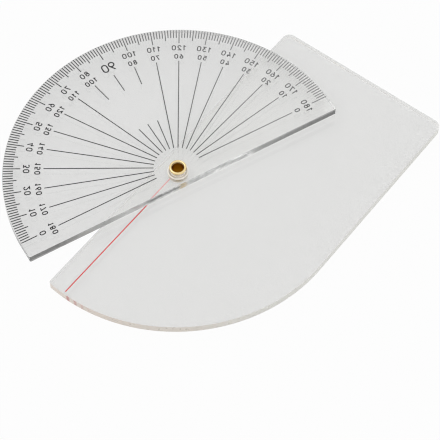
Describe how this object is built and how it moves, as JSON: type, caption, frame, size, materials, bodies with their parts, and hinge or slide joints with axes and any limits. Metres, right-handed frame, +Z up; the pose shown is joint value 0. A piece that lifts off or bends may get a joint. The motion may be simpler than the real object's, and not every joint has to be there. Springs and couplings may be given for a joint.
{
  "type": "angle finder",
  "caption": "Clear half-circle protractor that turns on a clear swing arm with a red reading line, joined by a hollow brass eyelet, for finding and setting angles.",
  "frame": {"origin": "on the pivot axis, level with the underside of the arm plate", "axes": "+X along the 0-180 line of the scale, +Y along its 90 line, +Z up through the eyelet, from the arm to the protractor"},
  "size_m": [0.1575, 0.1274, 0.0075],
  "materials": {
    "clear_acrylic_protractor": "clear polished sheet",
    "clear_acrylic_arm": "clear polished sheet",
    "black_ink": "screen-printed ink film",
    "red_ink": "screen-printed ink film",
    "white_nylon": "satin translucent",
    "brass": "bright drawn sheet"
  },
  "bodies": {
    "arm": {"arm_plate": "clear_acrylic_arm", "hairline": "red_ink", "spacer_washer": "white_nylon", "pivot_eyelet": "brass"},
    "protractor": {"protractor_plate": "clear_acrylic_protractor", "ticks_one_degree": "black_ink", "ticks_five_degree": "black_ink", "ticks_ten_degree": "black_ink", "ray_lines": "black_ink"}
  },
  "joints": [
    {"name": "protractor_turn", "type": "hinge", "parent": "arm", "child": "protractor", "pos_m": [0, 0, 0.005], "axis": [0, 0, 1], "continuous": true}
  ]
}
